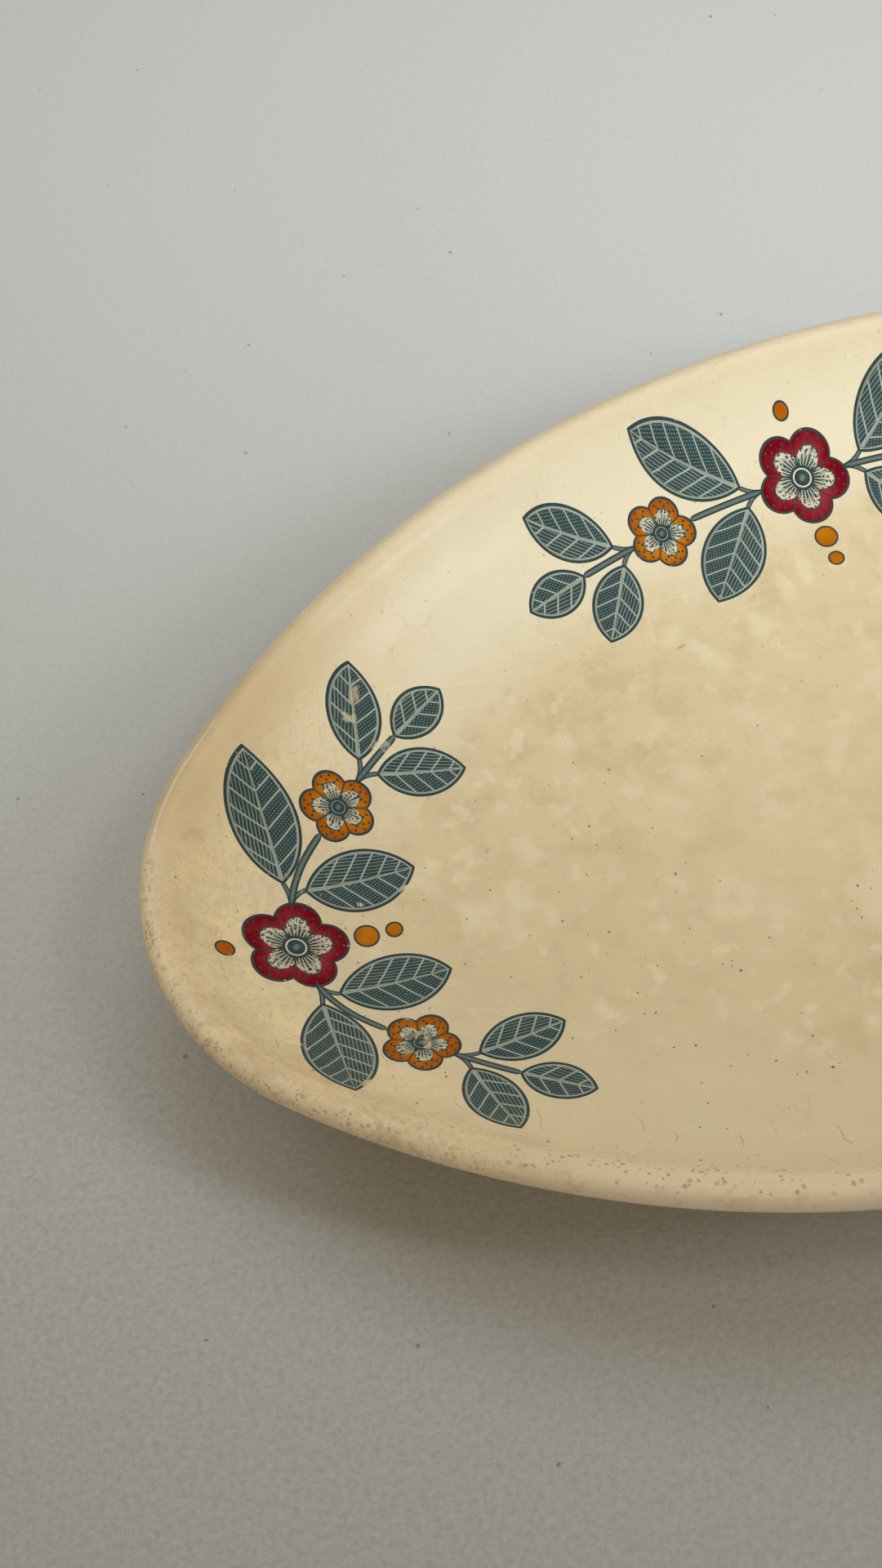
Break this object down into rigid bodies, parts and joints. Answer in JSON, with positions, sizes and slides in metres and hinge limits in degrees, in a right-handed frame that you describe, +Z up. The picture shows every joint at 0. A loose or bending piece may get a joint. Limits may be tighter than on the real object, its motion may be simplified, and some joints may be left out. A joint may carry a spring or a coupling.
{
  "type": "oval appetizer dish",
  "caption": "Shallow boat-shaped oval serving dish of cream-glazed earthenware with a rolled lip, an oval foot ring and printed, tinted garlands inside the wall.",
  "frame": {"origin": "centre of the oval plan, on the plane that the foot ring stands on", "axes": "+X along the dish's length, +Y across its width, +Z up"},
  "size_m": [0.24, 0.148, 0.025],
  "materials": {
    "biscuit": "matt fired earthenware, bare only under the foot",
    "cream_glaze": "glossy cream glaze, stained and finely crazed with age",
    "teal_ink": "fired slate-teal transfer print, engraved hatching",
    "crimson_enamel": "fired crimson tint, brushed on thin",
    "orange_enamel": "fired orange tint, brushed on thin"
  },
  "bodies": {
    "root": {"earthenware_body": "biscuit", "glaze_coat": "cream_glaze", "foot_well_glaze": "cream_glaze", "right_leaf_print": "teal_ink", "back_leaf_print": "teal_ink", "left_leaf_print": "teal_ink", "right_crimson_tint": "crimson_enamel", "back_crimson_tint": "crimson_enamel", "left_crimson_tint": "crimson_enamel", "right_orange_tint": "orange_enamel", "back_orange_tint": "orange_enamel", "left_orange_tint": "orange_enamel"}
  },
  "joints": []
}
